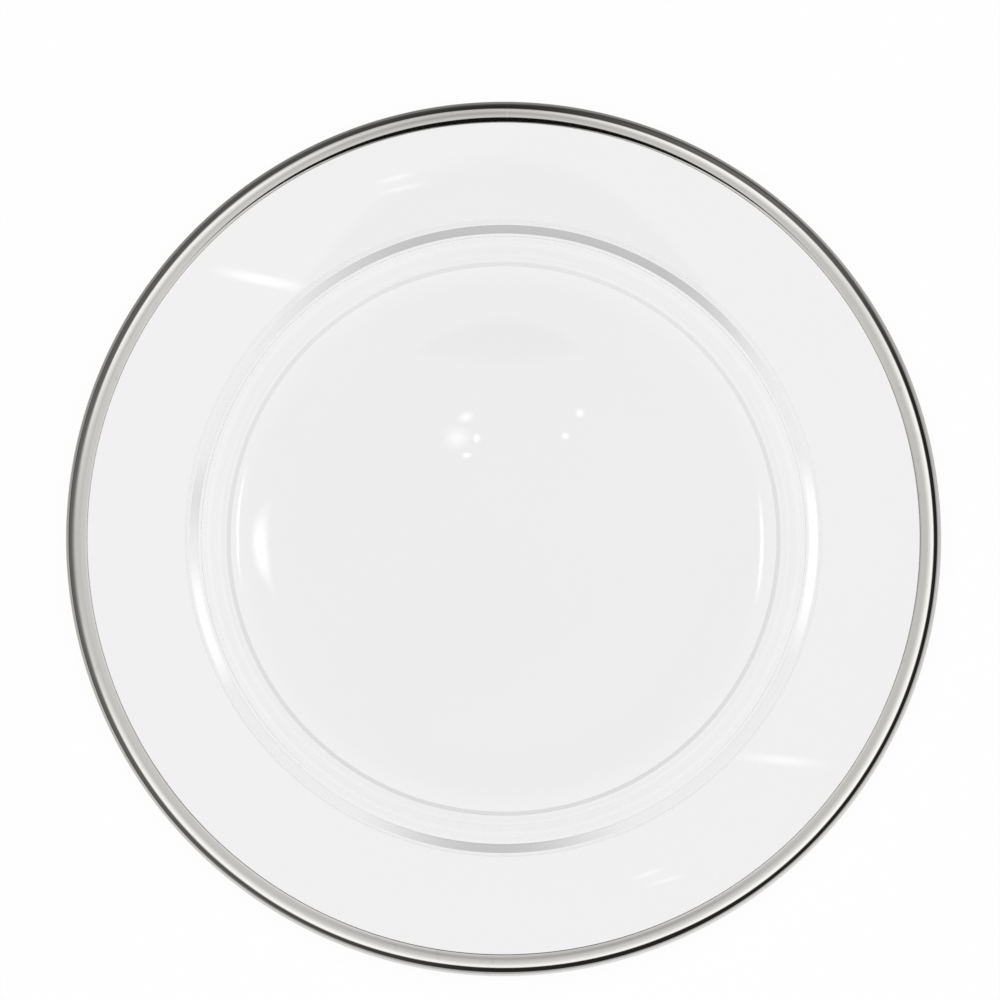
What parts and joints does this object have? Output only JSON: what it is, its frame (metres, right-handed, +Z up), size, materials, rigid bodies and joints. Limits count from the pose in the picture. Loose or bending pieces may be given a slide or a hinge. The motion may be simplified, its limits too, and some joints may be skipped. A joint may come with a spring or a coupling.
{
  "type": "charger plate",
  "caption": "Round clear-glass charger plate with a shallow well, a foot ring, a wide flat rim and a polished silver band rolled over its edge.",
  "frame": {"origin": "centre of the flat base, on the surface that the plate stands on", "axes": "+Z up along the plate's axis of revolution; +Y is the top of the picture and +X its right"},
  "size_m": [0.33, 0.33, 0.0202],
  "materials": {
    "clear_glass": "clear pressed glass, fire-polished",
    "silver": "polished silver plate, faintly warm"
  },
  "bodies": {
    "root": {"plate_body": "clear_glass", "rim_band": "silver"}
  },
  "joints": []
}
